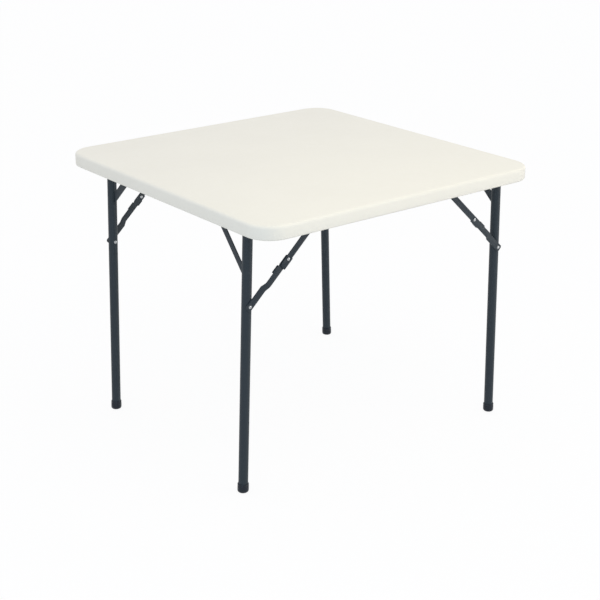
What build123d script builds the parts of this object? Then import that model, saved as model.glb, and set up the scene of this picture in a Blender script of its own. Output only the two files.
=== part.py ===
from build123d import *
import os
from collections import namedtuple
from math import atan2, cos, degrees, hypot, sin, tan

# Folding card table, standing with its legs open. Millimetres, +Z up.
# The origin is on the floor below the middle of the top. The narrow pair of legs stands at -X
# and folds towards +X, between the legs of the wide pair, which stands at +X.

# Driving dimensions
top_side = 900.0
table_height = 740.0
top_depth = 36.0
pivot_inset = 58.0
leg_inset = 85.0
pair_step = 55.5
foot_splay = 25.0
tube_diameter = 25.0
brace_rivet_drop = 200.0
brace_fold_gap = 6.0

# Table top
corner_radius = 67.0
top_edge_radius = 8.0
bottom_edge_radius = 5.0
rim_width = 26.0
recess_depth = 16.0
recess_edge_radius = 4.0
tack_count = 8
tack_margin = 74.0
tack_mouth_radius = 9.0
tack_floor_radius = 6.0
tack_depth = 11.0

# Clearances
running_fit = 0.05
seat_gap = 0.3
tube_roof_gap = 4.0
rail_clearance = 2.4

# Tubes, plugs and foot caps
tube_wall = 1.5
tube_end_proud = 2.0
cope_trim = 4.0
plug_lip = 1.0
plug_flange_depth = 3.0
plug_depth = 14.0
cap_wall = 2.2
cap_height = 25.0
cap_floor = 4.0
cap_edge_radius = 6.0
cap_mouth_chamfer = 1.6

# Side rails
rail_thickness = 2.0
rail_flange = 18.0
rail_bend_radius = 3.0
rail_bore_wall = 2.0
rail_end_chamfer = 10.0
rail_screw_count = 5
rail_screw_margin = 80.0

# Screws
screw_shank_radius = 2.0
screw_length = 12.0
screw_head_radius = 4.0
screw_head_depth = 2.2
screw_head_chamfer = 0.9
pilot_extra = 1.0

# Links of the braces
strap_thickness = 2.5
lower_width = 16.5
upper_width = 16.5
end_width = 18.5
end_reach = 10.0
end_corner = 3.5
joggle_start = 55.0
joggle_run = 14.0
joggle_offset = 7.0
lobe_proud = 1.2
lobe_below_knee = 25.0
lobe_above_knee = 6.0
lobe_corner = 2.5
finger_start = 51.0
finger_end = 28.0
finger_depth = 3.0
finger_corner = 2.0
tail_length = 26.0
lip_start = 24.0
lip_end = 7.0
shoulder_above_knee = 9.0
shoulder_corner = 2.0

# Rivets
rivet_radius = 3.0
rivet_head_radius = 4.5
rivet_head_depth = 1.9
rivet_head_chamfer = 0.9

# Brackets of the upper links
bracket_width = 30.0
bracket_flange = 16.0
bracket_end_radius = 8.5
bracket_bend_radius = 3.0
bracket_screw_pitch = 18.0

# Struts
strut_thickness = 3.0
long_strut_run = 123.0
long_strut_drop = 132.0
long_strut_width = 16.0
left_strut_run = 91.0
left_strut_drop = 88.0
short_strut_run = 84.0
short_strut_drop = 78.0
short_strut_width = 20.0

# Places and levels that follow
tube_radius = tube_diameter / 2
rim_z = table_height - top_depth
ceiling_z = rim_z + recess_depth
pivot_z = ceiling_z - tube_roof_gap - tube_radius
pivot_x = top_side / 2 - pivot_inset
wide_spread = top_side / 2 - leg_inset
narrow_spread = wide_spread - pair_step
splay = atan2(foot_splay, pivot_z)
leg_axis = pivot_z / cos(splay)
recess_half = top_side / 2 - rim_width

# Reaches outward from a leg's axis, of the faces of the flat parts beside the leg
link_inner = tube_radius + seat_gap
link_outer = link_inner + joggle_offset
upper_inner = link_outer + strap_thickness + seat_gap
upper_outer = upper_inner + strap_thickness
head_outer = upper_outer + seat_gap + rivet_head_depth

# Side rails, just outside the braces of the wide pair
rail_inner = wide_spread + head_outer + rail_clearance
rail_end_radius = tube_radius + rail_bore_wall
rail_half_length = pivot_x + rail_end_radius
rail_height = ceiling_z - pivot_z + rail_end_radius
rail_screw_pitch = 2 * (rail_half_length - rail_screw_margin) / (rail_screw_count - 1)
rail_screw_y = rail_inner + (rail_thickness + rail_flange) / 2
cross_half_length = rail_inner + rail_thickness + tube_end_proud

# Brace geometry in the upright plane of a brace, measured inward and up from the leg's pivot.
# The two links are in line when the table stands. When the legs are folded they lie along the
# leg, one on the other, so their lengths differ by the gap between their outer rivets.
leg_rivet_in = -brace_rivet_drop * sin(splay)
leg_rivet_up = -brace_rivet_drop * cos(splay)
anchor_in = brace_rivet_drop + brace_fold_gap
brace_span = hypot(anchor_in - leg_rivet_in, leg_rivet_up)
brace_angle = atan2(-leg_rivet_up, anchor_in - leg_rivet_in)
lower_length = (brace_span + brace_fold_gap) / 2
upper_length = (brace_span - brace_fold_gap) / 2
knee_in = leg_rivet_in + lower_length * cos(brace_angle)
knee_up = leg_rivet_up + lower_length * sin(brace_angle)
lip_inner = lower_width / 2 + seat_gap
lip_outer = lip_inner + strap_thickness

# One corner of the table: its leg's name, the signs of its X and Y, half the distance between
# the two legs of its pair, and the run, drop and width of its strut
Corner = namedtuple("Corner", "name x_sign y_sign spread strut_run strut_drop strut_width")
corners = [
    Corner("front", -1, -1, narrow_spread, long_strut_run, long_strut_drop, long_strut_width),
    Corner("left", -1, 1, narrow_spread, left_strut_run, left_strut_drop, short_strut_width),
    Corner("right", 1, -1, wide_spread, short_strut_run, short_strut_drop, short_strut_width),
    Corner("back", 1, 1, wide_spread, short_strut_run, short_strut_drop, short_strut_width),
]
pairs = [("narrow", corners[:2]), ("wide", corners[2:])]


def write(piece, name):
    """Label a finished piece and write it under its own name."""
    piece.part.label = name
    export_step(piece.part, f"parts/{name}.step")


def pivot_side(corner):
    """Sign of a link's own y axis on the side that faces the leg's pivot."""
    return corner.x_sign * corner.y_sign


def upright_plane(corner, inward, up, reach):
    """Upright plane beside a leg: x runs inward, z runs outward from the leg."""
    origin = (
        corner.x_sign * (pivot_x - inward),
        corner.y_sign * (corner.spread + reach),
        pivot_z + up,
    )
    return Plane(origin=origin, x_dir=(-corner.x_sign, 0, 0), z_dir=(0, corner.y_sign, 0))


def link_plane(corner, inward, up, reach):
    """Upright plane beside a leg, turned so that x runs up along the brace."""
    upright = upright_plane(corner, inward, up, reach)
    x_dir = (-corner.x_sign * cos(brace_angle), 0, sin(brace_angle))
    return Plane(origin=upright.origin, x_dir=x_dir, z_dir=upright.z_dir)


def side_plane(flat):
    """Plane on edge to a link's plane: x stays along the link, y runs outward."""
    return Plane(origin=flat.origin, x_dir=flat.x_dir, z_dir=-flat.y_dir)


def foot_plane(corner):
    """Plane across a leg where its axis meets the floor, with z up the leg."""
    foot = (corner.x_sign * (pivot_x + foot_splay), corner.y_sign * corner.spread, 0)
    return Plane(origin=foot, x_dir=(0, 1, 0), z_dir=(-corner.x_sign * sin(splay), 0, cos(splay)))


def frame_plane(corner):
    """Plane of a leg frame at the leg's pivot: x runs to the middle, y runs up the leg."""
    pivot = (corner.x_sign * pivot_x, corner.y_sign * corner.spread, pivot_z)
    z_dir = (-corner.y_sign * cos(splay), 0, -pivot_side(corner) * sin(splay))
    return Plane(origin=pivot, x_dir=(0, -corner.y_sign, 0), z_dir=z_dir)


def cross_plane(x_sign, y):
    """Plane across a cross tube at a place along it, with z along +Y."""
    return Plane(origin=(x_sign * pivot_x, y, pivot_z), x_dir=(1, 0, 0), z_dir=(0, 1, 0))


def disc(plane, radius, depth, mode=Mode.ADD):
    """Add or cut a disc that rises from a plane."""
    with BuildSketch(plane) as outline:
        Circle(radius)
    extrude(outline.sketch, amount=depth, mode=mode)


def head(plane, radius, depth, edge):
    """Add a round head that rises from a plane, with its outer edge broken."""
    rise = depth - edge
    disc(plane, radius, rise)
    with Locations(plane.offset(rise)):
        Cone(radius, radius - edge, edge, align=(Align.CENTER, Align.CENTER, Align.MIN))


def turned(plane):
    """The same place, with its z axis the other way."""
    return Plane(origin=plane.origin, x_dir=plane.x_dir, z_dir=-plane.z_dir)


def rivet(plane, inner_head, shank, outer_head):
    """Add a rivet along a plane's axis: its shank, and a head at each end that has one."""
    disc(plane, rivet_radius, shank)
    if inner_head:
        head(turned(plane), rivet_head_radius, rivet_head_depth, rivet_head_chamfer)
    if outer_head:
        head(plane.offset(shank), rivet_head_radius, rivet_head_depth, rivet_head_chamfer)


def screw(seat):
    """Add a pan-head screw driven upward, its head hanging below a seat plane."""
    disc(seat, screw_shank_radius, screw_length)
    head(turned(seat), screw_head_radius, screw_head_depth, screw_head_chamfer)


def rail_screw_places(y_sign):
    """X and Y of the screws of one side rail."""
    first = -rail_half_length + rail_screw_margin
    return [(first + step * rail_screw_pitch, y_sign * rail_screw_y) for step in range(rail_screw_count)]


def bracket_screw_places(corner):
    """X and Y of the two screws of one bracket."""
    middle = corner.x_sign * (pivot_x - anchor_in)
    y = corner.y_sign * (corner.spread + link_outer + strap_thickness - bracket_flange / 2)
    return [(middle + side * bracket_screw_pitch / 2, y) for side in (-1, 1)]


os.makedirs("parts", exist_ok=True)

# Table top: a panel with a deep rim round the recess that takes the folded legs, and cone-shaped
# pits where the lower skin is pressed up to the upper one
tack_pitch = 2 * (recess_half - tack_margin) / (tack_count - 1)
rail_places = rail_screw_places(-1) + rail_screw_places(1)
bracket_places = [place for corner in corners for place in bracket_screw_places(corner)]
with BuildPart() as top_panel:
    with BuildSketch(Plane.XY.offset(rim_z)):
        RectangleRounded(top_side, top_side, corner_radius)
    extrude(amount=top_depth)
    fillet(top_panel.faces().sort_by(Axis.Z)[-1].edges(), top_edge_radius)
    fillet(top_panel.faces().sort_by(Axis.Z)[0].edges(), bottom_edge_radius)
    with BuildSketch(Plane.XY.offset(rim_z)):
        RectangleRounded(2 * recess_half, 2 * recess_half, corner_radius - rim_width)
    extrude(amount=recess_depth, mode=Mode.SUBTRACT)
    recess_mouth = top_panel.faces().sort_by(Axis.Z)[0].inner_wires()[0]
    fillet(recess_mouth.edges(), recess_edge_radius)
    with Locations(Plane.XY.offset(ceiling_z)):
        with GridLocations(tack_pitch, tack_pitch, tack_count, tack_count):
            Cone(
                tack_mouth_radius,
                tack_floor_radius,
                tack_depth,
                align=(Align.CENTER, Align.CENTER, Align.MIN),
                mode=Mode.SUBTRACT,
            )
    with BuildSketch(Plane.XY.offset(ceiling_z)):
        with Locations(*rail_places, *bracket_places):
            Circle(screw_shank_radius + running_fit)
    extrude(amount=screw_length - rail_thickness + pilot_extra, mode=Mode.SUBTRACT)
write(top_panel, "top_panel")

# Side rails: pressed angles under the top, with a bore for a cross tube in each rounded end
for rail_name, y_sign in (("side_rail_front", -1), ("side_rail_back", 1)):
    rail_end = Plane(
        origin=(-y_sign * rail_half_length, 0, ceiling_z), x_dir=(0, y_sign, 0), z_dir=(y_sign, 0, 0)
    )
    with BuildPart() as side_rail:
        with BuildSketch(rail_end):
            with Locations((rail_inner, 0)):
                Rectangle(rail_thickness, rail_height, align=(Align.MIN, Align.MAX))
                Rectangle(rail_flange, rail_thickness, align=(Align.MIN, Align.MAX))
        extrude(amount=2 * rail_half_length)
        top_edges = side_rail.faces().sort_by(Axis.Z)[-1].edges().filter_by(Axis.X)
        bend_edge = top_edges.sort_by(lambda edge: abs(edge.center().Y))[0]
        fillet(bend_edge, rail_bend_radius)
        flange_edge = side_rail.faces().sort_by(lambda face: abs(face.center().Y))[-1]
        chamfer(flange_edge.edges().filter_by(Axis.Z), rail_end_chamfer)
        web_foot = side_rail.faces().sort_by(Axis.Z)[0]
        fillet(web_foot.edges().filter_by(Axis.Y), rail_end_radius)
        for x_sign in (-1, 1):
            web = cross_plane(x_sign, y_sign * (rail_inner + rail_thickness / 2))
            with BuildSketch(web):
                Circle(tube_radius + running_fit)
            extrude(amount=rail_thickness, both=True, mode=Mode.SUBTRACT)
        with BuildSketch(Plane.XY.offset(ceiling_z)):
            with Locations(*rail_screw_places(y_sign)):
                Circle(screw_shank_radius + running_fit)
        extrude(amount=-rail_thickness, mode=Mode.SUBTRACT)
    write(side_rail, rail_name)

# Brackets of the upper links: a plate that hangs beside the link, under a screwed flange
for corner in corners:
    anchor = upright_plane(corner, anchor_in, 0, link_outer)
    flange_up = pivot_side(corner) * (ceiling_z - pivot_z - strap_thickness / 2)
    with BuildPart() as bracket:
        with BuildSketch(anchor):
            Circle(bracket_end_radius)
            with Locations((0, flange_up)):
                Rectangle(bracket_width, strap_thickness)
            make_hull()
            Circle(rivet_radius + running_fit, mode=Mode.SUBTRACT)
        extrude(amount=strap_thickness)
        with BuildSketch(anchor.offset(strap_thickness)):
            with Locations((0, flange_up)):
                Rectangle(bracket_width, strap_thickness)
        extrude(amount=-bracket_flange)
        flange_top = bracket.faces().sort_by(Axis.Z)[-1]
        bend_edge = flange_top.edges().filter_by(Axis.X).sort_by(lambda edge: abs(edge.center().Y))[-1]
        fillet(bend_edge, bracket_bend_radius)
        with BuildSketch(Plane.XY.offset(ceiling_z)):
            with Locations(*bracket_screw_places(corner)):
                Circle(screw_shank_radius + running_fit)
        extrude(amount=-strap_thickness, mode=Mode.SUBTRACT)
    write(bracket, f"brace_bracket_{corner.name}")

# Screws that hold the rails and the brackets, driven up into the top
rail_seat_z = ceiling_z - rail_thickness
with BuildPart() as rail_screws:
    for place in rail_places:
        screw(Plane(origin=(*place, rail_seat_z)))
write(rail_screws, "rail_screws")

bracket_seat_z = ceiling_z - strap_thickness
with BuildPart() as bracket_screws:
    for place in bracket_places:
        screw(Plane(origin=(*place, bracket_seat_z)))
write(bracket_screws, "bracket_screws")

# Rivets that carry the upper links in their brackets
pin_length = upper_outer + seat_gap - link_outer
with BuildPart() as anchor_rivets:
    for corner in corners:
        rivet(upright_plane(corner, anchor_in, 0, link_outer), True, pin_length, True)
write(anchor_rivets, "anchor_rivets")

# Leg frames: each has a cross tube with end plugs, two legs, two struts and two foot caps
for pair_name, pair_corners in pairs:
    x_sign = pair_corners[0].x_sign
    with BuildPart() as cross_tube:
        with BuildSketch(cross_plane(x_sign, 0)):
            Circle(tube_radius)
            Circle(tube_radius - tube_wall, mode=Mode.SUBTRACT)
        extrude(amount=cross_half_length, both=True)
    write(cross_tube, f"cross_tube_{pair_name}")

    back_end = cross_plane(x_sign, cross_half_length)
    front_end = turned(cross_plane(x_sign, -cross_half_length))
    with BuildPart() as tube_plugs:
        for end_plane in (front_end, back_end):
            disc(end_plane, tube_radius + plug_lip, plug_flange_depth)
            disc(turned(end_plane), tube_radius - tube_wall - running_fit, plug_depth)
    write(tube_plugs, f"tube_plugs_{pair_name}")

    with BuildPart() as leg_rivets:
        for corner in pair_corners:
            inner_side = upright_plane(corner, leg_rivet_in, leg_rivet_up, -tube_radius)
            rivet(inner_side, True, tube_diameter, False)
    write(leg_rivets, f"leg_rivets_{pair_name}")

for corner in corners:
    foot = foot_plane(corner)
    cross = cross_plane(corner.x_sign, corner.y_sign * corner.spread)
    with BuildPart() as leg:
        with BuildSketch(foot.offset(cap_floor)):
            Circle(tube_radius)
            Circle(tube_radius - tube_wall, mode=Mode.SUBTRACT)
        extrude(amount=leg_axis - cope_trim - cap_floor)
        with BuildSketch(cross):
            Circle(tube_radius)
        extrude(amount=tube_diameter, both=True, mode=Mode.SUBTRACT)
        with BuildSketch(upright_plane(corner, leg_rivet_in, leg_rivet_up, 0)):
            Circle(rivet_radius + running_fit)
        extrude(amount=tube_diameter, both=True, mode=Mode.SUBTRACT)
    write(leg, f"leg_{corner.name}")

    cap_radius = tube_radius + cap_wall
    with BuildPart() as foot_cap:
        with BuildSketch(foot.offset(-cap_radius)):
            Circle(cap_radius)
        extrude(amount=cap_radius + cap_height)
        split(bisect_by=Plane.XY, keep=Keep.TOP)
        fillet(foot_cap.faces().sort_by(Axis.Z)[0].edges(), cap_edge_radius)
        chamfer(foot_cap.faces().sort_by(Axis.Z)[-1].edges(), cap_mouth_chamfer)
        disc(foot.offset(cap_floor), tube_radius + running_fit, cap_height, Mode.SUBTRACT)
    write(foot_cap, f"foot_cap_{corner.name}")

    with BuildPart() as strut:
        strut_length = hypot(corner.strut_run, corner.strut_drop)
        strut_turn = degrees(atan2(corner.strut_drop, corner.strut_run))
        with BuildSketch(frame_plane(corner)):
            with Locations(Location((0, -corner.strut_drop), strut_turn)):
                Rectangle(strut_length, corner.strut_width, align=(Align.MIN, Align.CENTER))
        extrude(amount=strut_thickness / 2, both=True)
        disc(foot, tube_radius, leg_axis, Mode.SUBTRACT)
        with BuildSketch(cross):
            Circle(tube_radius)
        extrude(amount=corner.spread, both=True, mode=Mode.SUBTRACT)
    write(strut, f"strut_{corner.name}")

# Braces. The lower link lies on the outer side of its leg, where it is wide and has broken
# corners. It narrows as it steps outward at the joggle, and passes inside the upper link at the
# knee, where it has a lobe on the side of the pivot. A finger tab is bent inward from its edge
# below the knee.
joggle_lead = strap_thickness * tan(atan2(joggle_offset, joggle_run) / 2)
joggle_end = joggle_start + joggle_run
link_end = lower_length + lower_width
for corner in corners:
    side = pivot_side(corner)
    flat = link_plane(corner, leg_rivet_in, leg_rivet_up, link_inner)
    with BuildPart() as lower_link:
        with BuildSketch(flat):
            with Locations((lower_length / 2, 0)):
                SlotCenterToCenter(lower_length, lower_width)
            with BuildSketch(mode=Mode.PRIVATE) as wide_end:
                with Locations((joggle_start, 0)):
                    Rectangle(joggle_start + end_reach, end_width, align=(Align.MAX, Align.CENTER))
                chamfer(wide_end.vertices().group_by(Axis.X)[0], end_corner)
                with Locations((joggle_end, 0)):
                    Rectangle(joggle_run, lower_width, align=(Align.MAX, Align.CENTER))
                make_hull()
            add(wide_end.sketch_local)
            with BuildSketch(mode=Mode.PRIVATE) as lobe:
                lobe_middle = lower_length - (lobe_below_knee - lobe_above_knee) / 2
                with Locations((lobe_middle, side * lobe_proud / 2)):
                    Rectangle(lobe_below_knee + lobe_above_knee, lower_width + lobe_proud)
                outer_corners = lobe.vertices().sort_by(lambda vertex: side * vertex.Y)[-2:]
                fillet(outer_corners, lobe_corner)
            add(lobe.sketch_local)
            with Locations((0, 0), (lower_length, 0)):
                Circle(rivet_radius + running_fit, mode=Mode.SUBTRACT)
        extrude(amount=joggle_offset + strap_thickness)
        with BuildSketch(side_plane(flat)):
            with BuildLine():
                Polyline(
                    (-end_width, 0),
                    (joggle_start, 0),
                    (joggle_end, joggle_offset),
                    (link_end, joggle_offset),
                    (link_end, joggle_offset + strap_thickness),
                    (joggle_end - joggle_lead, joggle_offset + strap_thickness),
                    (joggle_start - joggle_lead, strap_thickness),
                    (-end_width, strap_thickness),
                    close=True,
                )
            make_face()
        extrude(amount=end_width, both=True, mode=Mode.INTERSECT)
        with BuildSketch(side_plane(flat).offset(-side * lower_width / 2)) as finger:
            with Locations((lower_length - finger_end, joggle_offset + strap_thickness)):
                finger_size = (finger_start - finger_end, finger_depth + strap_thickness)
                Rectangle(*finger_size, align=(Align.MAX, Align.MAX))
            fillet(finger.vertices().group_by(Axis.Y)[0], finger_corner)
        extrude(amount=-side * strap_thickness)
    write(lower_link, f"lower_link_{corner.name}")

    with BuildPart() as link_rivet:
        rivet(flat, False, strap_thickness, True)
    write(link_rivet, f"link_rivet_{corner.name}")

    with BuildPart() as knee_rivet:
        rivet(link_plane(corner, knee_in, knee_up, link_outer), True, pin_length, True)
    write(knee_rivet, f"knee_rivet_{corner.name}")

# The upper link passes the knee with a tail, whose stop lip closes on the lower link's edge and
# keeps the open brace straight
shoulder_length = tail_length + shoulder_above_knee
for corner in corners:
    side = pivot_side(corner)
    knee = link_plane(corner, knee_in, knee_up, upper_inner)
    with BuildPart() as upper_link:
        with BuildSketch(knee):
            slot_start = upper_width / 2 - tail_length
            with Locations(((upper_length + slot_start) / 2, 0)):
                SlotCenterToCenter(upper_length - slot_start, upper_width)
            with BuildSketch(mode=Mode.PRIVATE) as shoulder:
                with Locations(((shoulder_above_knee - tail_length) / 2, -side * lip_outer / 2)):
                    Rectangle(shoulder_length, lip_outer)
                outer_corners = shoulder.vertices().sort_by(lambda vertex: side * vertex.Y)[:2]
                fillet(outer_corners, shoulder_corner)
            add(shoulder.sketch_local)
            with Locations((0, 0), (upper_length, 0)):
                Circle(rivet_radius + running_fit, mode=Mode.SUBTRACT)
        extrude(amount=strap_thickness)
        with BuildSketch(knee):
            with Locations((-(lip_start + lip_end) / 2, -side * (lip_inner + lip_outer) / 2)):
                Rectangle(lip_start - lip_end, strap_thickness)
        extrude(amount=-strap_thickness - seat_gap)
    write(upper_link, f"upper_link_{corner.name}")
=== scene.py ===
import logging
import math
from collections.abc import Iterable
from dataclasses import dataclass, field
from enum import Enum

import bmesh
import bpy
from mathutils import Matrix, Vector


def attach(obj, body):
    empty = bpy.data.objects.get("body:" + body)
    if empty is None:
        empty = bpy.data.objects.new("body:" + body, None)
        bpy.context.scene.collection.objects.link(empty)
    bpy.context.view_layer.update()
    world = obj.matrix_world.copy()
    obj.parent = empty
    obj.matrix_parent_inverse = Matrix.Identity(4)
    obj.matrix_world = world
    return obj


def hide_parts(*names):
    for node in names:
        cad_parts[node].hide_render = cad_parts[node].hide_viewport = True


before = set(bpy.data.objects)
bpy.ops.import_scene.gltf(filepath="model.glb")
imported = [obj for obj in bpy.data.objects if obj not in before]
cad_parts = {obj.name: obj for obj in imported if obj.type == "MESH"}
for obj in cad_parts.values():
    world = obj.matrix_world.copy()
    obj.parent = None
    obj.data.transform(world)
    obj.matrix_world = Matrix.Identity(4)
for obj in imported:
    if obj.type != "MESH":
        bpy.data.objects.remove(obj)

Span = tuple[float, float]
Point = tuple[float, float, float]
Colour = tuple[float, float, float]
Shape = bmesh.types.BMesh
Edge = bmesh.types.BMEdge
Mesh = bpy.types.Mesh
Socket = bpy.types.NodeSocket

log = logging.getLogger("folding_card_table")
PHOTO_SIDE = 600.0
SENSOR_WIDTH = 36.0
SAME_PLACE = 1e-6
SAME_LEVEL = 1e-5
CUT_LIMIT = 1e-7
FACES_DOWN = -0.99
MIX_INPUTS = (6, 7)
MIX_OUTPUT = 2
NARROW_SPREAD = 0.3095
WIDE_SPREAD = 0.365


class Slot(Enum):
    """Material slots of the record."""

    TOP = "top_plastic"
    PAINT = "frame_paint"
    CAP = "cap_plastic"
    ZINC = "zinc"


class Pair(Enum):
    """The two pairs of legs, each with the sign of its X."""

    NARROW = -1
    WIDE = 1

    @property
    def label(self) -> str:
        """Name of the pair in node and body names."""
        return self.name.lower()

    @property
    def body(self) -> str:
        """Body that carries the pair's leg frame."""
        return f"leg_frame_{self.label}"


@dataclass(frozen=True)
class Corner:
    """One corner of the table, with the leg that stands there."""

    name: str
    pair: Pair
    y_sign: int
    spread: float
    strut_run: float
    strut_drop: float
    strut_width: float

    @property
    def x_sign(self) -> int:
        """Sign of X at this corner."""
        return self.pair.value


CORNERS = (
    Corner("front", Pair.NARROW, -1, NARROW_SPREAD, strut_run=0.123, strut_drop=0.132, strut_width=0.016),
    Corner("left", Pair.NARROW, 1, NARROW_SPREAD, strut_run=0.091, strut_drop=0.088, strut_width=0.020),
    Corner("right", Pair.WIDE, -1, WIDE_SPREAD, strut_run=0.084, strut_drop=0.078, strut_width=0.020),
    Corner("back", Pair.WIDE, 1, WIDE_SPREAD, strut_run=0.084, strut_drop=0.078, strut_width=0.020),
)


def corners_of(pair: Pair) -> list[Corner]:
    """The two corners of a pair of legs."""
    return [corner for corner in CORNERS if corner.pair is pair]


class NodeGraph:
    """The shader nodes of one finish, with short ways to add and join them."""

    def __init__(self, name: str) -> None:
        """Start a material with a Principled shader.

        Args:
            name: Name of the material.
        """
        self.material = bpy.data.materials.new(name)
        self.material.use_nodes = True
        self.nodes = self.material.node_tree.nodes
        self.links = self.material.node_tree.links
        self.shader = self.nodes["Principled BSDF"]
        self.place = self.nodes.new("ShaderNodeTexCoord").outputs["Object"]

    def noise(self, scale: float, detail: float = 3.0, roughness: float = 0.5) -> Socket:
        """Add a noise pattern on Object coordinates.

        Args:
            scale: Features per metre.
            detail: Octaves of the noise.
            roughness: How strong the finer octaves are.

        Returns:
            The noise value, about 0.3 to 0.7.
        """
        node = self.nodes.new("ShaderNodeTexNoise")
        node.inputs["Scale"].default_value = scale
        node.inputs["Detail"].default_value = detail
        node.inputs["Roughness"].default_value = roughness
        self.links.new(self.place, node.inputs["Vector"])
        return node.outputs["Fac"]

    def cells(self, scale: float, smoothness: float = 0.6) -> Socket:
        """Add a pattern of soft round cells on Object coordinates.

        Args:
            scale: Cells per metre.
            smoothness: How far neighbouring cells melt together.

        Returns:
            The distance from each cell's middle.
        """
        node = self.nodes.new("ShaderNodeTexVoronoi")
        node.feature = "SMOOTH_F1"
        node.inputs["Scale"].default_value = scale
        node.inputs["Smoothness"].default_value = smoothness
        self.links.new(self.place, node.inputs["Vector"])
        return node.outputs["Distance"]

    def remap(self, source: Socket, result: Span, spread: Span = (0.3, 0.7)) -> Socket:
        """Map one range of values to another and clamp it.

        Args:
            source: The values to map.
            result: What the ends of the spread become.
            spread: Lowest and highest value taken from the source.

        Returns:
            The mapped values.
        """
        node = self.nodes.new("ShaderNodeMapRange")
        node.inputs["From Min"].default_value, node.inputs["From Max"].default_value = spread
        node.inputs["To Min"].default_value, node.inputs["To Max"].default_value = result
        self.links.new(source, node.inputs["Value"])
        return node.outputs["Result"]

    def blend(self, factor: Socket, low: Colour | Socket, high: Colour | Socket) -> Socket:
        """Mix two colours by a factor.

        Args:
            factor: 0 for the first colour, 1 for the second.
            low: First colour, or a socket that gives it.
            high: Second colour, or a socket that gives it.

        Returns:
            The mixed colour.
        """
        node = self.nodes.new("ShaderNodeMix")
        node.data_type = "RGBA"
        self.links.new(factor, node.inputs["Factor"])
        for key, colour in zip(MIX_INPUTS, (low, high)):
            if isinstance(colour, Socket):
                self.links.new(colour, node.inputs[key])
            else:
                node.inputs[key].default_value = (*colour, 1.0)
        return node.outputs[MIX_OUTPUT]

    def bump(self, height: Socket, strength: float, depth: float, under: Socket | None = None) -> Socket:
        """Add a bump layer.

        Args:
            height: Height pattern.
            strength: Strength of the layer.
            depth: Height of the pattern in metres.
            under: Normal of the layer below, if there is one.

        Returns:
            The bumped normal.
        """
        node = self.nodes.new("ShaderNodeBump")
        node.inputs["Strength"].default_value = strength
        node.inputs["Distance"].default_value = depth
        self.links.new(height, node.inputs["Height"])
        if under is not None:
            self.links.new(under, node.inputs["Normal"])
        return node.outputs["Normal"]

    def finish(self, colour: Socket, normal: Socket, rough: Socket, **values: float) -> bpy.types.Material:
        """Join the layers to the shader and set its constants.

        Args:
            colour: Colour of the surface.
            normal: Its bumped normal.
            rough: Its roughness.
            values: Further sockets by name, with their values.

        Returns:
            The finished material.
        """
        for key, source in (("Base Color", colour), ("Normal", normal), ("Roughness", rough)):
            self.links.new(source, self.shader.inputs[key])
        for key, value in values.items():
            self.shader.inputs[key].default_value = value
        return self.material


@dataclass(frozen=True)
class MouldedPlastic:
    """Pale blow-moulded plastic with a pebbled grain and a slight cloudiness."""

    name: str = "moulded_cream_plastic"
    light: Colour = (0.862, 0.836, 0.730)
    dark: Colour = (0.850, 0.824, 0.720)
    clouds: float = 5.0
    specks: float = 900.0
    waves: float = 14.0
    pebbles: float = 520.0
    grains: float = 1500.0
    patches: float = 60.0

    def make(self) -> bpy.types.Material:
        """Build the material.

        Returns:
            The finished material.
        """
        graph = NodeGraph(self.name)
        cloud = graph.remap(graph.noise(self.clouds, detail=4.0), spread=(0.35, 0.65), result=(0.0, 1.0))
        clouded = graph.blend(cloud, self.dark, self.light)
        speck = graph.remap(graph.noise(self.specks, detail=2.0), spread=(0.62, 0.78), result=(0.0, 0.35))
        colour = graph.blend(speck, clouded, self.dark)
        wavy = graph.bump(graph.noise(self.waves, detail=2.0), strength=0.1, depth=0.0012)
        pebble = graph.remap(graph.cells(self.pebbles), spread=(0.05, 0.55), result=(1.0, 0.0))
        pebbled = graph.bump(pebble, strength=0.28, depth=0.00022, under=wavy)
        normal = graph.bump(graph.noise(self.grains), strength=0.12, depth=0.0001, under=pebbled)
        rough = graph.remap(graph.noise(self.patches, detail=4.0), result=(0.46, 0.6))
        return graph.finish(colour, normal, rough, IOR=1.49)


@dataclass(frozen=True)
class PowderCoat:
    """Slate-grey powder coat: fine orange peel, faint flecks and a few rubbed places."""

    name: str = "slate_powder_coat"
    base: Colour = (0.0214, 0.0314, 0.0396)
    fleck: Colour = (0.042, 0.057, 0.068)
    rubbed: Colour = (0.036, 0.047, 0.056)
    flecks: float = 2600.0
    rubs: float = 38.0
    peel: float = 420.0
    grains: float = 1900.0
    patches: float = 90.0

    def make(self) -> bpy.types.Material:
        """Build the material.

        Returns:
            The finished material.
        """
        graph = NodeGraph(self.name)
        speckle = graph.remap(graph.noise(self.flecks, detail=2.0), spread=(0.56, 0.72), result=(0.0, 0.6))
        flecked = graph.blend(speckle, self.base, self.fleck)
        rub = graph.noise(self.rubs, detail=6.0, roughness=0.62)
        worn = graph.remap(rub, spread=(0.60, 0.74), result=(0.0, 0.55))
        colour = graph.blend(worn, flecked, self.rubbed)
        peeled = graph.bump(graph.noise(self.peel, detail=2.0), strength=0.22, depth=0.00012)
        normal = graph.bump(graph.noise(self.grains, detail=2.0), strength=0.18, depth=0.00006, under=peeled)
        rough = graph.remap(graph.noise(self.patches, detail=4.0), result=(0.38, 0.5))
        return graph.finish(colour, normal, rough, IOR=1.33)


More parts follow.
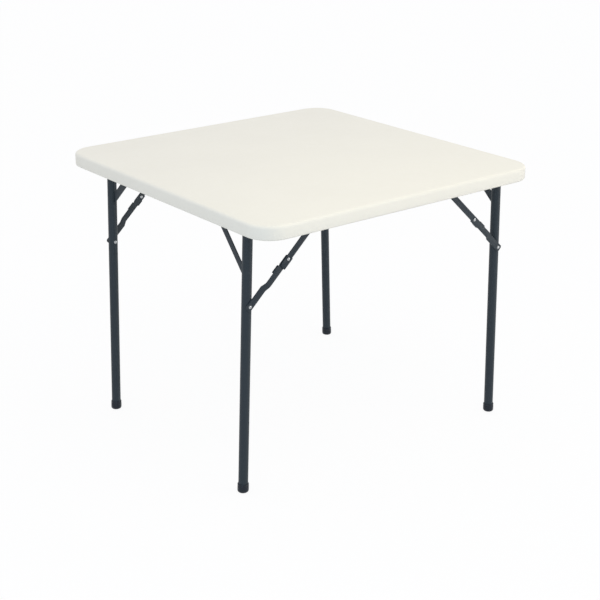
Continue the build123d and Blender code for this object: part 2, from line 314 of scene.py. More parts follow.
@dataclass(frozen=True)
class CapPlastic:
    """Near-black moulded plastic of the foot caps and tube plugs, with a little dust on it."""

    name: str = "black_cap_plastic"
    base: Colour = (0.0090, 0.0140, 0.0220)
    dust: Colour = (0.017, 0.023, 0.032)
    dusting: float = 130.0
    grains: float = 1400.0
    patches: float = 200.0

    def make(self) -> bpy.types.Material:
        """Build the material.

        Returns:
            The finished material.
        """
        graph = NodeGraph(self.name)
        drift = graph.noise(self.dusting, detail=5.0, roughness=0.6)
        dusty = graph.remap(drift, spread=(0.5, 0.72), result=(0.0, 0.6))
        colour = graph.blend(dusty, self.base, self.dust)
        normal = graph.bump(graph.noise(self.grains), strength=0.14, depth=0.00008)
        rough = graph.remap(graph.noise(self.patches), result=(0.24, 0.36))
        return graph.finish(colour, normal, rough, IOR=1.34)


@dataclass(frozen=True)
class ZincPlate:
    """Bright zinc plate of the rivets and screws, with a cloudy tarnish."""

    name: str = "bright_zinc_plate"
    bright: Colour = (0.50, 0.515, 0.520)
    dull: Colour = (0.30, 0.312, 0.325)
    clouds: float = 420.0
    grains: float = 2400.0
    patches: float = 700.0

    def make(self) -> bpy.types.Material:
        """Build the material.

        Returns:
            The finished material.
        """
        graph = NodeGraph(self.name)
        cloud = graph.remap(graph.noise(self.clouds, detail=4.0), spread=(0.35, 0.7), result=(0.0, 1.0))
        colour = graph.blend(cloud, self.bright, self.dull)
        normal = graph.bump(graph.noise(self.grains), strength=0.12, depth=0.00005)
        rough = graph.remap(graph.noise(self.patches), result=(0.3, 0.46))
        return graph.finish(colour, normal, rough, Metallic=1.0)


class Finishes:
    """The finished materials of the table, by slot."""

    def __init__(self) -> None:
        """Build every material once."""
        self.by_slot = {
            Slot.TOP: MouldedPlastic().make(),
            Slot.PAINT: PowderCoat().make(),
            Slot.CAP: CapPlastic().make(),
            Slot.ZINC: ZincPlate().make(),
        }

    def dress(self, piece: bpy.types.Object, slot: Slot) -> None:
        """Give a piece, or a node of the frame, the material of a slot.

        Args:
            piece: The object to dress.
            slot: Slot that names the finish.
        """
        piece.data.materials.clear()
        piece.data.materials.append(self.by_slot[slot])


def stamp(shape: Shape, pattern: Mesh, place: Matrix) -> None:
    """Copy a finished mesh into a shape at a place.

    Args:
        shape: The shape that takes the copy.
        pattern: The mesh to copy.
        place: Where the copy goes.
    """
    before = set(shape.verts)
    shape.from_mesh(pattern)
    bmesh.ops.transform(shape, matrix=place, verts=[vert for vert in shape.verts if vert not in before])


def close_seams(shape: Shape) -> None:
    """Merge the doubled points of a shape and turn its faces outward."""
    bmesh.ops.remove_doubles(shape, verts=shape.verts, dist=SAME_PLACE)
    bmesh.ops.recalc_face_normals(shape, faces=shape.faces)


def turned_shape(outline: Iterable[Span], faces: int) -> Shape:
    """Turn an outline round Z.

    Args:
        outline: Radius and height of each point, from the axis outward and back.
        faces: Faces round the axis.

    Returns:
        The turned shape, with its seam and poles merged.
    """
    shape = bmesh.new()
    points = [shape.verts.new((radius, 0.0, height)) for radius, height in outline]
    edges = [shape.edges.new(ends) for ends in zip(points, points[1:])]
    bmesh.ops.spin(
        shape,
        geom=points + edges,
        cent=(0.0, 0.0, 0.0),
        axis=(0.0, 0.0, 1.0),
        angle=math.tau,
        steps=faces,
        use_merge=True,
    )
    close_seams(shape)
    return shape


def round_edges(shape: Shape, edges: list[Edge], radius: float, faces: int, clamp: bool = True) -> None:
    """Round edges of a shape.

    Args:
        shape: The shape.
        edges: Edges to round.
        radius: Radius of the rounding.
        faces: Faces across it.
        clamp: Whether roundings that would overlap are held back.
    """
    bmesh.ops.bevel(
        shape,
        geom=edges,
        offset=radius,
        offset_type="OFFSET",
        segments=faces,
        profile=0.5,
        affect="EDGES",
        clamp_overlap=clamp,
        material=-1,
    )


def as_pattern(shape: Shape, name: str) -> Mesh:
    """Keep a shape as a mesh that can be stamped.

    Args:
        shape: The shape, which is freed.
        name: Name of the mesh.

    Returns:
        The mesh.
    """
    mesh = bpy.data.meshes.new(name)
    shape.to_mesh(mesh)
    shape.free()
    return mesh


def add_object(name: str, data: bpy.types.ID) -> bpy.types.Object:
    """Add an object to the scene.

    Args:
        name: Name of the object.
        data: Its mesh, curve, lamp or camera.

    Returns:
        The new object.
    """
    added = bpy.data.objects.new(name, data)
    bpy.context.scene.collection.objects.link(added)
    return added


def evaluated_mesh(source: bpy.types.Object) -> Mesh:
    """Take the mesh of an object after its modifiers, or of a curve after its bevel.

    Args:
        source: The object.

    Returns:
        A new mesh.
    """
    bpy.context.view_layer.update()
    graph = bpy.context.evaluated_depsgraph_get()
    return bpy.data.meshes.new_from_object(source.evaluated_get(graph))


def carved(solid: Mesh, tool: Mesh) -> Mesh:
    """Cut one mesh away from another.

    Args:
        solid: The mesh that is cut.
        tool: The mesh that is taken away.

    Returns:
        What is left, as a new mesh.
    """
    block, cutter = (add_object(mesh.name, mesh) for mesh in (solid, tool))
    cut = block.modifiers.new("cut", "BOOLEAN")
    cut.operation = "DIFFERENCE"
    cut.solver = "EXACT"
    cut.use_self = True
    cut.object = cutter
    rest = evaluated_mesh(block)
    for helper in (block, cutter):
        bpy.data.objects.remove(helper)
    return rest


def finished_piece(
    name: str, shape: Shape, body: str, slot: Slot, finishes: Finishes, smooth_below: float = 38.0
) -> bpy.types.Object:
    """Make a piece of the table from a shape and let it ride on its body.

    Args:
        name: Name of the piece.
        shape: Its shape in the table's frame, which is freed.
        body: Body that carries it.
        slot: Slot of its finish.
        finishes: The finished materials.
        smooth_below: Edges flatter than this many degrees are shaded smooth.

    Returns:
        The new object.
    """
    mesh = as_pattern(shape, name)
    mesh.shade_smooth()
    mesh.set_sharp_from_angle(angle=math.radians(smooth_below))
    piece = add_object(name, mesh)
    finishes.dress(piece, slot)
    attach(piece, body)
    log.info("%s: %d faces, rides on %s", name, len(mesh.polygons), body)
    return piece


def axis_frame(origin: Vector, axis: Vector) -> Matrix:
    """Frame at a point with its Z along an axis.

    Args:
        origin: The point.
        axis: Direction of Z.

    Returns:
        The matrix of the frame.
    """
    turn = Vector((0.0, 0.0, 1.0)).rotation_difference(axis.normalized())
    return Matrix.Translation(origin) @ turn.to_matrix().to_4x4()


@dataclass
class TableTop:
    """The blow-moulded top: a rounded rim about a recess with rows of tack-off pits."""

    finishes: Finishes
    side: float = 0.900
    height: float = 0.740
    depth: float = 0.036
    corner_radius: float = 0.067
    corner_faces: int = 28
    top_edge_radius: float = 0.008
    top_edge_faces: int = 9
    bottom_edge_radius: float = 0.005
    bottom_edge_faces: int = 6
    rim_width: float = 0.026
    recess_depth: float = 0.016
    recess_edge_radius: float = 0.004
    recess_edge_faces: int = 5
    tack_count: int = 8
    tack_margin: float = 0.074
    tack_mouth: float = 0.0095
    tack_mouth_roll: tuple[Span, ...] = ((0.0007, 0.0), (0.0002, 0.0006), (-0.0004, 0.0018))
    tack_floor: float = 0.0060
    tack_floor_roll: tuple[Span, ...] = ((0.0003, 0.0014), (-0.0004, 0.0004), (-0.0014, 0.0))
    tack_crown: float = 0.0006
    tack_depth: float = 0.011
    tack_faces: int = 20

    @property
    def rim_z(self) -> float:
        """Height of the rim's lower edge."""
        return self.height - self.depth

    @property
    def ceiling_z(self) -> float:
        """Height of the recess's ceiling."""
        return self.rim_z + self.recess_depth

    def slab(self) -> Shape:
        """Build the rounded slab with the open recess below.

        Returns:
            The shell, open where the ceiling of the recess goes.
        """
        shape = bmesh.new()
        middle = Matrix.Translation((0.0, 0.0, self.height - self.depth / 2))
        size = Matrix.Diagonal((self.side, self.side, self.depth, 1.0))
        bmesh.ops.create_cube(shape, size=1.0, matrix=middle @ size)
        rises = {edge: abs(edge.verts[0].co.z - edge.verts[1].co.z) for edge in shape.edges}
        upright = [edge for edge, rise in rises.items() if rise > self.depth / 2]
        round_edges(shape, upright, self.corner_radius, self.corner_faces)
        round_edges(shape, self.loop_at(shape, self.height), self.top_edge_radius, self.top_edge_faces)
        self.open_recess(shape)
        rim_middle = self.side / 2 - self.rim_width / 2
        outer = [edge for edge in self.loop_at(shape, self.rim_z) if self.reach(edge) > rim_middle]
        round_edges(shape, outer, self.bottom_edge_radius, self.bottom_edge_faces)
        inner = [edge for edge in self.loop_at(shape, self.rim_z) if self.reach(edge) <= rim_middle]
        round_edges(shape, inner, self.recess_edge_radius, self.recess_edge_faces)
        return shape

    def open_recess(self, shape: Shape) -> None:
        """Raise the walls of the recess inside the rim and leave its ceiling open.

        Args:
            shape: The rounded slab.
        """
        bottom = [face for face in shape.faces if face.normal.z < FACES_DOWN]
        bmesh.ops.inset_region(shape, faces=bottom, thickness=self.rim_width, use_even_offset=True)
        walls = bmesh.ops.extrude_face_region(shape, geom=bottom)
        lifted = [item for item in walls["geom"] if isinstance(item, bmesh.types.BMVert)]
        bmesh.ops.translate(shape, vec=(0.0, 0.0, self.recess_depth), verts=lifted)
        bmesh.ops.delete(shape, geom=bottom, context="FACES")
        levels = {face: face.calc_center_median().z for face in shape.faces}
        ceiling = [face for face, level in levels.items() if abs(level - self.ceiling_z) < SAME_LEVEL]
        bmesh.ops.delete(shape, geom=ceiling, context="FACES_ONLY")

    def reach(self, edge: Edge) -> float:
        """Measure how far out an edge's middle lies, with the corners unrolled to straight sides.

        Args:
            edge: An edge of the rim.

        Returns:
            The distance from the centre line that the edge runs beside.
        """
        middle = (edge.verts[0].co + edge.verts[1].co) / 2
        near, far = sorted((abs(middle.x), abs(middle.y)))
        corner = self.side / 2 - self.corner_radius
        if near <= corner:
            return far
        return corner + math.hypot(far - corner, near - corner)

    def loop_at(self, shape: Shape, z: float) -> list[Edge]:
        """Edges that lie level at a height."""
        return [edge for edge in shape.edges if all(abs(vert.co.z - z) < SAME_LEVEL for vert in edge.verts)]

    def tack_pattern(self) -> Mesh:
        """Build one tack-off pit with a rolled mouth.

        Returns:
            The pit, its mouth at height zero.
        """
        outline = [
            *((self.tack_mouth + out, rise) for out, rise in self.tack_mouth_roll),
            *((self.tack_floor + out, self.tack_depth - drop) for out, drop in self.tack_floor_roll),
            (0.0, self.tack_depth - self.tack_crown),
        ]
        return as_pattern(turned_shape(outline, self.tack_faces), "tack_pit")

    def build(self) -> None:
        """Build the top in place of its node."""
        shape = self.slab()
        pattern = self.tack_pattern()
        reach = self.side / 2 - self.rim_width - self.tack_margin
        pitch = 2 * reach / (self.tack_count - 1)
        for column in range(self.tack_count):
            for row in range(self.tack_count):
                place = (-reach + column * pitch, -reach + row * pitch, self.ceiling_z)
                stamp(shape, pattern, Matrix.Translation(place))
        bmesh.ops.triangle_fill(
            shape,
            use_beauty=True,
            use_dissolve=False,
            edges=[edge for edge in self.loop_at(shape, self.ceiling_z) if edge.is_boundary],
            normal=(0.0, 0.0, -1.0),
        )
        bmesh.ops.recalc_face_normals(shape, faces=shape.faces)
        piece = finished_piece("moulded_top", shape, "table_top", Slot.TOP, self.finishes)
        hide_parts("top_panel")


@dataclass
class Fasteners:
    """Zinc-plated rivets with domed heads, and pan-head screws with a cross recess."""

    finishes: Finishes
    dome_angles: tuple[float, ...] = (8.0, 24.0, 40.0, 56.0, 72.0)
    dome_squareness: float = 0.7
    dome_fullness: float = 1.1
    dome_foot: float = 0.3
    dish: tuple[Span, ...] = ((1.0, 1.0), (0.7, 0.86), (0.0, 0.74))
    rivet_radius: float = 0.003
    rivet_faces: int = 28
    head_radius: float = 0.0045
    head_depth: float = 0.0019
    dimple_share: float = 0.36
    screw_radius: float = 0.002
    screw_faces: int = 24
    screw_length: float = 0.012
    screw_point: float = 0.0015
    screw_head_radius: float = 0.004
    screw_head_depth: float = 0.0022
    thread_start: float = 0.0025
    thread_turns: int = 7
    thread_root: float = 0.76
    thread_flanks: Span = (0.35, 0.65)
    recess_reach: float = 0.0023
    recess_width: float = 0.0009
    recess_depth: float = 0.0013

    def head_outline(self, radius: float, depth: float, dimple: float) -> list[Span]:
        """Outline of a domed head, from its rim to its middle.

        Args:
            radius: Radius of the head.
            depth: Height of the head.
            dimple: Radius of the dimple that the riveting tool leaves, or zero.

        Returns:
            Radius and height of each point.
        """
        outline = [(radius, 0.0)]
        for turn in (math.radians(angle) for angle in self.dome_angles):
            rise = self.dome_foot + (1.0 - self.dome_foot) * math.sin(turn) ** self.dome_fullness
            outline.append((radius * math.cos(turn) ** self.dome_squareness, depth * rise))
        if dimple:
            return outline + [(dimple * out, depth * up) for out, up in self.dish]
        return outline + [(0.0, depth)]

    def rivet_pattern(self, length: float, low_head: bool, high_head: bool) -> Mesh:
        """Build a rivet along Z.

        Args:
            length: Length of the shank.
            low_head: Whether a head sits at the foot of the shank.
            high_head: Whether a head sits at its end.

        Returns:
            The rivet.
        """
        dome = self.head_outline(self.head_radius, self.head_depth, self.head_radius * self.dimple_share)
        low = [(radius, -height) for radius, height in reversed(dome)] if low_head else [(0.0, 0.0)]
        shank = [(self.rivet_radius, 0.0), (self.rivet_radius, length)]
        high = [(radius, length + height) for radius, height in dome] if high_head else [(0.0, length)]
        return as_pattern(turned_shape(low + shank + high, self.rivet_faces), "rivet")

    def screw_pattern(self) -> Mesh:
        """Build a screw along Z, its head below height zero.

        Returns:
            The screw.
        """
        dome = self.head_outline(self.screw_head_radius, self.screw_head_depth, 0.0)
        outline = [(radius, -height) for radius, height in reversed(dome)]
        outline += [(self.screw_radius, 0.0), (self.screw_radius, self.thread_start)]
        pitch = (self.screw_length - self.thread_start - self.screw_point) / self.thread_turns
        root = self.screw_radius * self.thread_root
        for turn in range(self.thread_turns):
            level = self.thread_start + turn * pitch
            outline += [(root, level + pitch * share) for share in self.thread_flanks]
            outline += [(self.screw_radius, level + pitch)]
        outline += [(0.0, self.screw_length)]
        plain = as_pattern(turned_shape(outline, self.screw_faces), "plain_screw")
        return carved(plain, self.driver_pattern())

    def driver_pattern(self) -> Mesh:
        """Build the cross that a screw's recess is cut with.

        Returns:
            The cross, at the top of the head.
        """
        shape = bmesh.new()
        place = Matrix.Translation((0.0, 0.0, -self.screw_head_depth))
        for size in ((self.recess_reach, self.recess_width), (self.recess_width, self.recess_reach)):
            scale = Matrix.Diagonal((2 * size[0], 2 * size[1], 2 * self.recess_depth, 1.0))
            bmesh.ops.create_cube(shape, size=1.0, matrix=place @ scale)
        return as_pattern(shape, "driver")

    def set_of(self, name: str, pattern: Mesh, places: Iterable[Matrix], body: str, node: str) -> None:
        """Stamp one kind of fastener at its places, in place of a node.

        Args:
            name: Name of the new piece.
            pattern: The fastener.
            places: Where each one sits.
            body: Body that carries them.
            node: Node that the piece stands for.
        """
        shape = bmesh.new()
        for place in places:
            stamp(shape, pattern, place)
        piece = finished_piece(name, shape, body, Slot.ZINC, self.finishes)
        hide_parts(node)


@dataclass
class Hardware:
    """Places every rivet and screw of the table, from the sizes of the parts that they hold."""

    finishes: Finishes
    top: TableTop
    tube_radius: float = 0.0125
    seat_gap: float = 0.0003
    strap: float = 0.0025
    joggle: float = 0.007
    pivot_x: float = 0.392
    pivot_z: float = 0.7035
    foot_splay: float = 0.025
    rivet_drop: float = 0.200
    fold_gap: float = 0.006
    rail_inner: float = 0.3947
    rail_thickness: float = 0.002
    rail_flange: float = 0.018
    rail_half_length: float = 0.4065
    rail_screw_margin: float = 0.080
    rail_screw_count: int = 5
    rail_screw_turn: float = 0.7
    bracket_flange: float = 0.016
    bracket_screw_pitch: float = 0.018
    bracket_turn: float = 0.9
    bracket_screw_turn: float = 0.4
    fasteners: Fasteners = field(init=False)

    def __post_init__(self) -> None:
        """Set up the fasteners with the same finishes."""
        self.fasteners = Fasteners(self.finishes)

    @property
    def splay(self) -> float:
        """Lean of the legs."""
        return math.atan2(self.foot_splay, self.pivot_z)

    @property
    def link_outer(self) -> float:
        """Reach of the lower link's outer run from its leg's axis."""
        return self.tube_radius + self.seat_gap + self.joggle

    @property
    def pin_length(self) -> float:
        """Shank between the heads at a knee or a bracket."""
        return 2 * self.strap + 2 * self.seat_gap

    @property
    def anchor_in(self) -> float:
        """Distance of a bracket's middle inward from its leg's pivot."""
        return self.rivet_drop + self.fold_gap

    @property
    def leg_rivet(self) -> Span:
        """Place of the rivet through a leg, inward and up from the leg's pivot."""
        return -self.rivet_drop * math.sin(self.splay), -self.rivet_drop * math.cos(self.splay)

    @property
    def knee(self) -> Span:
        """Place of a knee, on the line from the leg's rivet to the bracket's.

        Returns:
            Its distance inward and up from its leg's pivot.
        """
        low_in, low_up = self.leg_rivet
        length = (math.hypot(self.anchor_in - low_in, low_up) + self.fold_gap) / 2
        angle = math.atan2(-low_up, self.anchor_in - low_in)
        return low_in + length * math.cos(angle), low_up + length * math.sin(angle)

    def beside(self, corner: Corner, inward: float, up: float, reach: float) -> Matrix:
        """Frame beside a leg whose Z runs outward.

        Args:
            corner: The leg's corner.
            inward: Distance from the leg's pivot towards the middle of the table.
            up: Height above the pivot.
            reach: Distance outward from the leg's axis.

        Returns:
            The matrix of the frame.
        """
        x = corner.x_sign * (self.pivot_x - inward)
        y = corner.y_sign * (corner.spread + reach)
        return axis_frame(Vector((x, y, self.pivot_z + up)), Vector((0.0, corner.y_sign, 0.0)))

    def build(self) -> None:
        """Place all rivets and screws."""
        kit = self.fasteners
        pin = kit.rivet_pattern(self.pin_length, True, True)
        through = kit.rivet_pattern(2 * self.tube_radius, True, False)
        stub = kit.rivet_pattern(self.strap, False, True)
        anchors = [self.beside(corner, self.anchor_in, 0.0, self.link_outer) for corner in CORNERS]
        kit.set_of("anchor_rivet_set", pin, anchors, "table_top", "anchor_rivets")
        for pair in Pair:
            places = [self.beside(corner, *self.leg_rivet, -self.tube_radius) for corner in corners_of(pair)]
            node = f"leg_rivets_{pair.label}"
            kit.set_of(f"leg_rivet_set_{pair.label}", through, places, pair.body, node)
        for corner in CORNERS:
            body = f"lower_brace_{corner.name}"
            low = self.beside(corner, *self.leg_rivet, self.tube_radius + self.seat_gap)
            mid = self.beside(corner, *self.knee, self.link_outer)
            kit.set_of(f"domed_link_rivet_{corner.name}", stub, [low], body, f"link_rivet_{corner.name}")
            kit.set_of(f"domed_knee_rivet_{corner.name}", pin, [mid], body, f"knee_rivet_{corner.name}")
        screw = kit.screw_pattern()
        kit.set_of("rail_screw_set", screw, self.rail_screws(), "table_top", "rail_screws")
        kit.set_of("bracket_screw_set", screw, self.bracket_screws(), "table_top", "bracket_screws")

    def rail_screws(self) -> list[Matrix]:
        """Work out where the screws of both rails sit, each turned a little further.

        Returns:
            The frame of each screw.
        """
        y = self.rail_inner + (self.rail_thickness + self.rail_flange) / 2
        z = self.top.ceiling_z - self.rail_thickness
        first = -self.rail_half_length + self.rail_screw_margin
        pitch = -2 * first / (self.rail_screw_count - 1)
        return [
            Matrix.Translation((first + step * pitch, side * y, z))
            @ Matrix.Rotation(self.rail_screw_turn * step + side, 4, "Z")
            for side in (-1, 1)
            for step in range(self.rail_screw_count)
        ]

    def bracket_screws(self) -> list[Matrix]:
        """Work out where the two screws of each bracket sit.

        Returns:
            The frame of each screw.
        """
        places = []
        for number, corner in enumerate(CORNERS):
            x = corner.x_sign * (self.pivot_x - self.anchor_in)
            y = corner.y_sign * (corner.spread + self.link_outer + self.strap - self.bracket_flange / 2)
            z = self.top.ceiling_z - self.strap
            for side in (-1, 1):
                place = Matrix.Translation((x + side * self.bracket_screw_pitch / 2, y, z))
                turn = self.bracket_turn * number + self.bracket_screw_turn * side
                places.append(place @ Matrix.Rotation(turn, 4, "Z"))
        return places


@dataclass
class LegFrame:
    """The welds and feet of one pair of legs, and the dressing of its steel."""

    finishes: Finishes
    hardware: Hardware
    pair: Pair
    cap_wall: float = 0.0022
    cap_clearance: float = 0.00005
    cap_height: float = 0.025
    cap_floor: float = 0.004
    cap_skirt: float = 0.0095
    cap_edge: float = 0.0060
    cap_edge_faces: int = 5
    cap_faces: int = 56
    cap_overcut: float = 0.0001
    cap_mouth: tuple[Span, ...] = ((0.0, 0.0006), (0.0002, 0.0001), (0.0006, 0.0))
    cap_collar: tuple[Span, ...] = (
        (0.0011, 0.0006), (0.0004, 0.0017), (0.0, 0.0030), (0.0, 0.0040), (0.0003, 0.0047),
        (0.0011, 0.0051), (0.0011, 0.0060), (0.0004, 0.0066), (0.0001, 0.0080),
    )
    weld_radius: float = 0.0021
    weld_ripple: float = 0.82
    weld_reach: float = 1.02
    weld_steps: int = 44
    weld_smooth_below: float = 70.0
    strut_thickness: float = 0.003
    strut_weld_share: float = 0.72
    strut_weld_overlap: float = 0.0006
    strut_weld_steps: int = 9

    def leg_axis(self, corner: Corner) -> Vector:
        """Direction up a leg."""
        splay = self.hardware.splay
        return Vector((-corner.x_sign * math.sin(splay), 0.0, math.cos(splay)))

    def pivot(self, corner: Corner) -> Vector:
        """Point where a leg's axis meets its cross tube's."""
        x = corner.x_sign * self.hardware.pivot_x
        return Vector((x, corner.y_sign * corner.spread, self.hardware.pivot_z))

    def foot(self, corner: Corner) -> Vector:
        """Point where a leg's axis meets the floor."""
        x = corner.x_sign * (self.hardware.pivot_x + self.hardware.foot_splay)
        return Vector((x, corner.y_sign * corner.spread, 0.0))

    def build_cap(self, corner: Corner) -> None:
        """Build the foot cap of one leg: a grooved collar, and a rounded sole flat on the floor.

        Args:
            corner: The leg's corner.
        """
        bore = self.hardware.tube_radius + self.cap_clearance
        outer = self.hardware.tube_radius + self.cap_wall
        lowest = -outer * math.tan(self.hardware.splay) - self.cap_overcut
        outline = [
            (0.0, self.cap_floor),
            (bore, self.cap_floor),
            *((bore + outset, self.cap_height - drop) for outset, drop in self.cap_mouth),
            *((outer - inset, self.cap_height - drop) for inset, drop in self.cap_collar),
            (outer, self.cap_skirt),
            (outer, lowest),
            (0.0, lowest),
        ]
        shape = turned_shape(outline, self.cap_faces)
        place = axis_frame(self.foot(corner), self.leg_axis(corner))
        bmesh.ops.transform(shape, matrix=place, verts=shape.verts)
        bmesh.ops.bisect_plane(
            shape,
            geom=[*shape.verts, *shape.edges, *shape.faces],
            dist=CUT_LIMIT,
            plane_co=(0.0, 0.0, 0.0),
            plane_no=(0.0, 0.0, -1.0),
            clear_outer=True,
        )
        rim = [edge for edge in shape.edges if edge.is_boundary]
        sole = bmesh.ops.contextual_create(shape, geom=rim)["faces"][0]
        round_edges(shape, list(sole.edges), self.cap_edge, self.cap_edge_faces, clamp=False)
        bmesh.ops.recalc_face_normals(shape, faces=shape.faces)
        name = f"moulded_foot_cap_{corner.name}"
        piece = finished_piece(name, shape, self.pair.body, Slot.CAP, self.finishes)
        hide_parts(f"foot_cap_{corner.name}")

    def bead(self, name: str, route: list[Vector], size: float) -> None:
        """Build a closed weld bead with the ripples of its runs.

        Args:
            name: Name of the piece.
            route: Points round the joint.
            size: Radius of the bead.
        """
        curve = bpy.data.curves.new(name, "CURVE")
        curve.dimensions = "3D"
        curve.bevel_depth = size
        curve.bevel_resolution = 2
        spline = curve.splines.new("POLY")
        spline.points.add(len(route) - 1)
        for number, (point, place) in enumerate(zip(spline.points, route)):
            point.co = (*place, 1.0)
            point.radius = 1.0 if number % 2 else self.weld_ripple
        spline.use_cyclic_u = True
        holder = add_object(name, curve)
        mesh = evaluated_mesh(holder)
        bpy.data.objects.remove(holder)
        shape = bmesh.new()
        shape.from_mesh(mesh)
        close_seams(shape)
        finished_piece(name, shape, self.pair.body, Slot.PAINT, self.finishes, self.weld_smooth_below)

    def saddle_route(self, corner: Corner) -> list[Vector]:
        """Points where a leg's tube meets its cross tube.

        Args:
            corner: The leg's corner.

        Returns:
            Points round the leg.
        """
        radius = self.hardware.tube_radius
        reach = radius * self.weld_reach
        down = -self.leg_axis(corner)
        along = Vector((0.0, 1.0, 0.0))
        across = along.cross(down)
        route = []
        for step in range(self.weld_steps):
            turn = math.tau * step / self.weld_steps
            side = reach * math.sin(turn)
            fall = math.sqrt(max(radius * reach - side * side, 0.0))
            route.append(self.pivot(corner) + across * side + along * reach * math.cos(turn) + down * fall)
        return route

    def strut_ends(self, corner: Corner) -> dict[str, tuple[Vector, Vector, Vector]]:
        """Where a strut's ends meet the leg and the cross tube.

        Args:
            corner: The leg's corner.

        Returns:
            For each end its middle, and the directions across the strut's width and its thickness.
        """
        radius = self.hardware.tube_radius
        middle = Vector((0.0, -corner.y_sign, 0.0))
        up = self.leg_axis(corner)
        flat = middle.cross(up)
        run = (middle * corner.strut_run + up * corner.strut_drop).normalized()
        low = self.pivot(corner) - up * corner.strut_drop
        leg_end = low + run * (radius / run.dot(middle))
        tube_end = low + run * ((corner.strut_drop - radius) / run.dot(up))
        return {"leg": (leg_end, up, flat), "tube": (tube_end, middle, flat)}

    def build_welds(self, corner: Corner) -> None:
        """Lay the weld beads of one leg and its strut.

        Args:
            corner: The leg's corner.
        """
        self.bead(f"leg_weld_{corner.name}", self.saddle_route(corner), self.weld_radius)
        slope = math.atan2(corner.strut_drop, corner.strut_run)
        across = corner.strut_width / 2
        halves = {"leg": across / math.cos(slope), "tube": across / math.sin(slope)}
        thick = self.strut_thickness / 2 + self.strut_weld_overlap
        steps = self.strut_weld_steps
        for end, (middle, long_way, short_way) in self.strut_ends(corner).items():
            half = halves[end] + self.strut_weld_overlap
            sides = [long_way * (half * (2 * step / steps - 1)) for step in range(steps + 1)]
            route = [middle + offset + short_way * thick for offset in sides]
            route += [middle + offset - short_way * thick for offset in reversed(sides)]
            self.bead(f"strut_weld_{end}_{corner.name}", route, self.weld_radius * self.strut_weld_share)

    def build(self) -> None:
        """Build the caps and welds, and dress the steel."""
        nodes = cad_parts
        self.finishes.dress(nodes[f"cross_tube_{self.pair.label}"], Slot.PAINT)
        self.finishes.dress(nodes[f"tube_plugs_{self.pair.label}"], Slot.CAP)
        for corner in corners_of(self.pair):
            self.finishes.dress(nodes[f"leg_{corner.name}"], Slot.PAINT)
            self.finishes.dress(nodes[f"strut_{corner.name}"], Slot.PAINT)
            self.build_cap(corner)
            self.build_welds(corner)


@dataclass
class PressedSteel:
    """Links, brackets and rails: pressed strip whose sheared edges are softened."""

    finishes: Finishes
    edge_break: float = 0.00045
    edge_faces: int = 2
    flat_below: float = 1.0
    sharp_above: float = 50.0

    def soften(self, node: str, body: str) -> None:
        """Build a piece like a node, with its sharp edges softened, in place of the node.

        Args:
            node: Name of the node.
            body: Body that carries it.
        """
        shape = bmesh.new()
        shape.from_mesh(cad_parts[node].data)
        bmesh.ops.remove_doubles(shape, verts=shape.verts, dist=SAME_PLACE)
        bmesh.ops.dissolve_limit(
            shape,
            angle_limit=math.radians(self.flat_below),
            verts=shape.verts,
            edges=shape.edges,
            delimit=set(),
        )
        limit = math.radians(self.sharp_above)
        sharp = [edge for edge in shape.edges if edge.is_manifold and edge.calc_face_angle(0.0) > limit]
        round_edges(shape, sharp, self.edge_break, self.edge_faces)
        piece = finished_piece(f"pressed_{node}", shape, body, Slot.PAINT, self.finishes)
        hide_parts(node)

    def build(self) -> None:
        """Soften every strip piece."""
        for side in ("front", "back"):
            self.soften(f"side_rail_{side}", "table_top")
        for corner in CORNERS:
            self.soften(f"brace_bracket_{corner.name}", "table_top")
            self.soften(f"upper_link_{corner.name}", f"upper_brace_{corner.name}")
            self.soften(f"lower_link_{corner.name}", f"lower_brace_{corner.name}")


@dataclass(frozen=True)
class Lamp:
    """A soft square lamp."""

    name: str
    place: Point
    size: float
    watts: float
    tint: Colour

    def hang(self, target: Point) -> None:
        """Add the lamp to the scene.

        Args:
            target: Point that it faces.
        """
        data = bpy.data.lights.new(self.name, "AREA")
        data.shape = "SQUARE"
        data.size = self.size
        data.energy = self.watts
        data.color = self.tint
        lamp = add_object(self.name, data)
        lamp.location = self.place
        aim = Vector(target) - Vector(self.place)
        lamp.rotation_euler = aim.to_track_quat("-Z", "Y").to_euler()


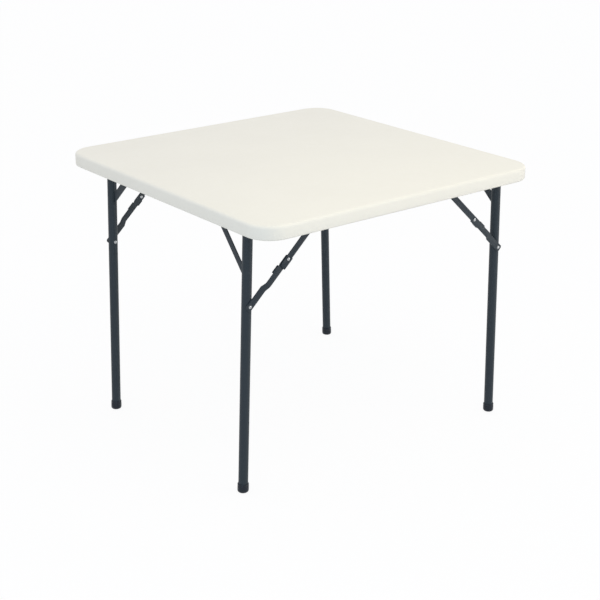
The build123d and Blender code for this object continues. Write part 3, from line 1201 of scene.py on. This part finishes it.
@dataclass
class Studio:
    """Pale floor, soft lamps and a camera at the photograph's angle."""

    camera_place: Point = (-2.1215, -2.6760, 1.6465)
    heading: float = 38.564
    pitch: float = 21.941
    roll: float = 0.200
    focal_pixels: float = 1303.3
    middle_pixels: Span = (299.66, 319.13)
    view_depth: float = 50.0
    room_tint: Colour = (0.914, 0.928, 1.0)
    room_strength: float = 0.935
    white: Colour = (1.0, 1.0, 1.0)
    floor_reach: float = 20.0
    floor_bounce: Colour = (0.66, 0.66, 0.66)
    floor_tone: Colour = (0.95, 0.95, 0.95)
    floor_glow: float = 0.93
    lamp_target: Point = (0.0, 0.0, 0.5)
    lamps: tuple[Lamp, ...] = (
        Lamp("right_lamp", (2.3, -3.2, 0.15), size=1.2, watts=34.0, tint=(1.0, 0.985, 0.970)),
        Lamp("left_lamp", (-2.5, -1.8, 0.9), size=1.2, watts=9.8, tint=(0.48, 0.74, 1.0)),
        Lamp("top_lamp", (0.1, -1.1, 2.2), size=0.8, watts=5.9, tint=(1.0, 0.94, 0.68)),
    )

    def build_camera(self) -> None:
        """Set up the camera."""
        data = bpy.data.cameras.new("photo_camera")
        data.sensor_width = SENSOR_WIDTH
        data.lens = self.focal_pixels / PHOTO_SIDE * SENSOR_WIDTH
        data.shift_x = 0.5 - self.middle_pixels[0] / PHOTO_SIDE
        data.shift_y = self.middle_pixels[1] / PHOTO_SIDE - 0.5
        data.clip_end = self.view_depth
        camera = add_object("photo_camera", data)
        turn = Matrix.Rotation(-math.radians(self.heading), 4, "Z")
        tilt = Matrix.Rotation(math.radians(90.0 - self.pitch), 4, "X")
        lean = Matrix.Rotation(math.radians(self.roll), 4, "Z")
        camera.matrix_world = Matrix.Translation(self.camera_place) @ turn @ tilt @ lean
        bpy.context.scene.camera = camera

    def seen_rays(self, tree: bpy.types.NodeTree) -> Socket:
        """Tell the rays that see a surface from the rays that only light by it.

        Args:
            tree: Node tree that takes the nodes.

        Returns:
            1 for a camera, glossy or transmission ray, else 0.
        """
        path = tree.nodes.new("ShaderNodeLightPath")
        seen = path.outputs["Is Camera Ray"]
        for kind in ("Is Glossy Ray", "Is Transmission Ray"):
            either = tree.nodes.new("ShaderNodeMath")
            either.operation = "MAXIMUM"
            tree.links.new(seen, either.inputs[0])
            tree.links.new(path.outputs[kind], either.inputs[1])
            seen = either.outputs["Value"]
        return seen

    def show(self, tree: bpy.types.NodeTree, output: str, lit: Socket, seen: Socket) -> None:
        """Give a world or floor one face that lights the table and one that is seen.

        Args:
            tree: Its node tree.
            output: Type of its output node.
            lit: Shader that lights the table.
            seen: Shader that the camera and reflections see.
        """
        choose = tree.nodes.new("ShaderNodeMixShader")
        tree.links.new(self.seen_rays(tree), choose.inputs["Fac"])
        tree.links.new(lit, choose.inputs[1])
        tree.links.new(seen, choose.inputs[2])
        tree.links.new(choose.outputs["Shader"], tree.nodes.new(output).inputs["Surface"])

    def build_world(self) -> None:
        """Light the room evenly and show white behind the table."""
        world = bpy.data.worlds.new("studio")
        bpy.context.scene.world = world
        world.use_nodes = True
        tree = world.node_tree
        tree.nodes.clear()
        room = tree.nodes.new("ShaderNodeBackground")
        room.inputs["Color"].default_value = (*self.room_tint, 1.0)
        room.inputs["Strength"].default_value = self.room_strength
        white = tree.nodes.new("ShaderNodeBackground")
        white.inputs["Color"].default_value = (*self.white, 1.0)
        white.inputs["Strength"].default_value = 1.0
        self.show(tree, "ShaderNodeOutputWorld", room.outputs["Background"], white.outputs["Background"])

    def build_floor(self) -> None:
        """Lay a pale floor that reads white and keeps a soft shadow."""
        shape = bmesh.new()
        bmesh.ops.create_grid(shape, x_segments=1, y_segments=1, size=self.floor_reach)
        floor = add_object("studio_floor", as_pattern(shape, "studio_floor"))
        material = bpy.data.materials.new("studio_floor")
        material.use_nodes = True
        tree = material.node_tree
        tree.nodes.clear()
        matte = tree.nodes.new("ShaderNodeBsdfDiffuse")
        matte.inputs["Color"].default_value = (*self.floor_bounce, 1.0)
        pale = tree.nodes.new("ShaderNodeBsdfDiffuse")
        pale.inputs["Color"].default_value = (*self.floor_tone, 1.0)
        glow = tree.nodes.new("ShaderNodeEmission")
        glow.inputs["Color"].default_value = (*self.white, 1.0)
        seen = tree.nodes.new("ShaderNodeMixShader")
        seen.inputs["Fac"].default_value = self.floor_glow
        tree.links.new(pale.outputs["BSDF"], seen.inputs[1])
        tree.links.new(glow.outputs["Emission"], seen.inputs[2])
        self.show(tree, "ShaderNodeOutputMaterial", matte.outputs["BSDF"], seen.outputs["Shader"])
        floor.data.materials.append(material)

    def build(self) -> None:
        """Build the studio."""
        self.build_camera()
        self.build_world()
        self.build_floor()
        for lamp in self.lamps:
            lamp.hang(self.lamp_target)
        bpy.context.scene.view_settings.view_transform = "Standard"
        log.info("studio ready")


def main() -> None:
    """Build the table's pieces in order."""
    logging.basicConfig(level=logging.INFO, format="%(name)s: %(message)s")
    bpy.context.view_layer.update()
    Studio().build()
    finishes = Finishes()
    top = TableTop(finishes)
    top.build()
    hardware = Hardware(finishes, top)
    hardware.build()
    PressedSteel(finishes).build()
    for pair in Pair:
        LegFrame(finishes, hardware, pair).build()


if __name__ == "__main__":
    main()
